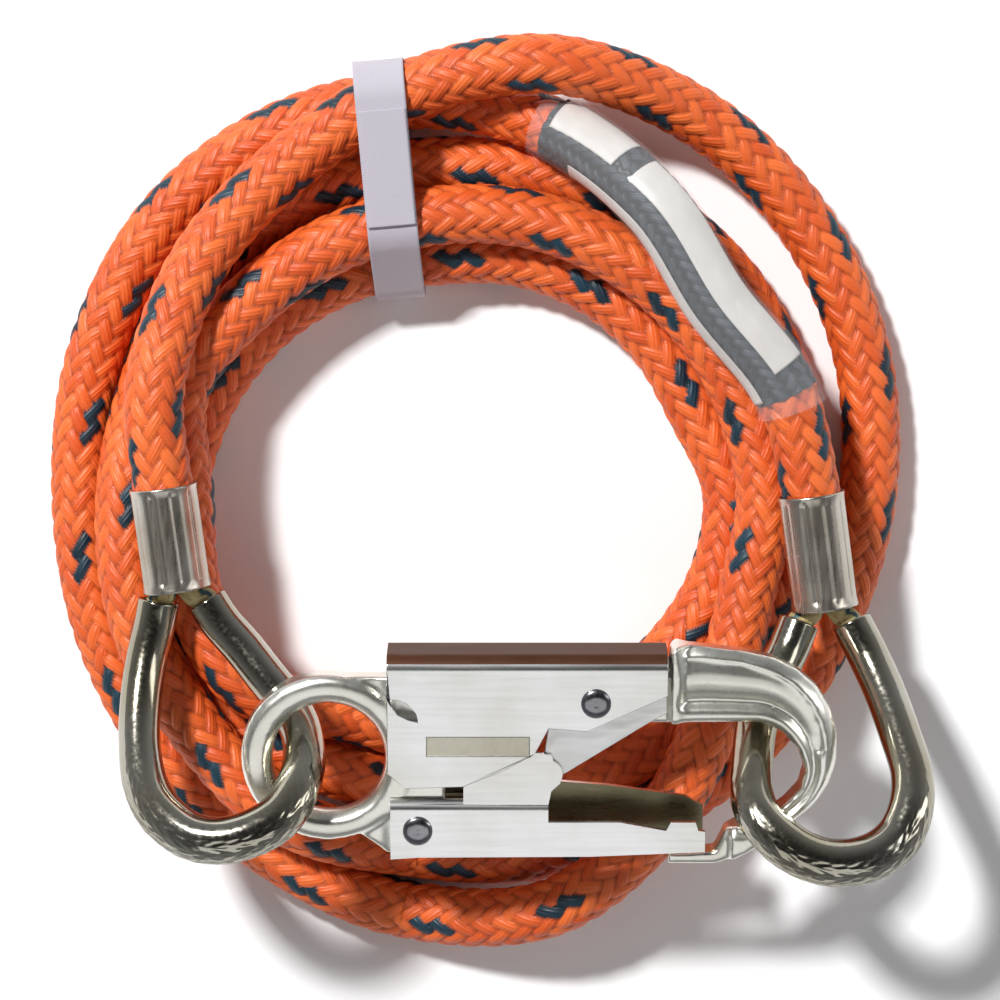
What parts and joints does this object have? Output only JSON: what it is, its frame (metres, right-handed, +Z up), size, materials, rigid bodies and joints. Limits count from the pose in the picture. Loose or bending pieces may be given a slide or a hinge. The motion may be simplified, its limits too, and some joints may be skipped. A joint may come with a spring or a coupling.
{
  "type": "shock absorbing lanyard",
  "caption": "Coiled braided rope lanyard with an energy-absorbing core, tube thimbles at both ends and a double-acting snap hook through them.",
  "frame": {"origin": "on the resting surface, under the middle of the whole lanyard's box", "axes": "+X along the snap hook from its eye to its nose, +Y from the hook across the coil, +Z up"},
  "size_m": [0.185, 0.1935, 0.0572],
  "materials": {
    "rope_cover": "braided nylon, orange with dark blue-green tracers",
    "rope_core": "undyed polyester yarn",
    "ferrule": "dark plated steel, swaged",
    "thimble": "plated tube, wrinkled at the bend",
    "band": "white woven tape",
    "wrap": "dark braided wrap",
    "label": "white printed film, left blank",
    "clear_sleeve": "clear shrink sleeve",
    "hook_forging": "satin zinc-plated forging",
    "hook_plate": "satin zinc-plated pressing",
    "rivet": "plated steel",
    "bush": "plain",
    "spring": "spring wire"
  },
  "bodies": {
    "lanyard": {"rope_cover": "rope_cover", "rope_core": "rope_core", "ferrule_left": "ferrule", "ferrule_right": "ferrule", "thimble_left": "thimble", "thimble_right": "thimble", "core_loop_left": "rope_core", "core_loop_right": "rope_core", "coil_band": "band", "band_closure": "band", "label_wrap": "wrap", "label_short": "label", "label_long": "label", "label_strip": "label", "clear_sleeve": "clear_sleeve"},
    "hook": {"hook_body": "hook_forging", "lever_rivet": "rivet", "lever_bush": "bush", "lever_spring": "spring", "gate_rivet": "rivet", "gate_bush": "bush", "gate_spring": "spring"},
    "lever": {"lever": "hook_plate", "lock_arm": "hook_plate"},
    "gate": {"gate": "hook_plate"}
  },
  "joints": [
    {"name": "hook_roll", "type": "hinge", "parent": "lanyard", "child": "hook", "pos_m": [0.0022, -0.052, 0.042], "axis": [1, 0, 0], "range_deg": [0, 10]},
    {"name": "gate_open", "type": "hinge", "parent": "hook", "child": "gate", "pos_m": [-0.0132, -0.06563, 0.03984], "axis": [0, -0.1564, 0.9877], "range_deg": [0, 18], "stiffness_Nm_per_rad": 0.05, "springref_deg": -17.19},
    {"name": "lever_press", "type": "hinge", "parent": "hook", "child": "lever", "pos_m": [0.0232, -0.03817, 0.04419], "axis": [0, -0.1564, 0.9877], "range_deg": [0, 4.5], "stiffness_Nm_per_rad": 0.2, "springref_deg": -11.46}
  ],
  "couplings": [
    {"joint": "lever_press", "follows": "gate_open", "ratio": 0.25}
  ]
}
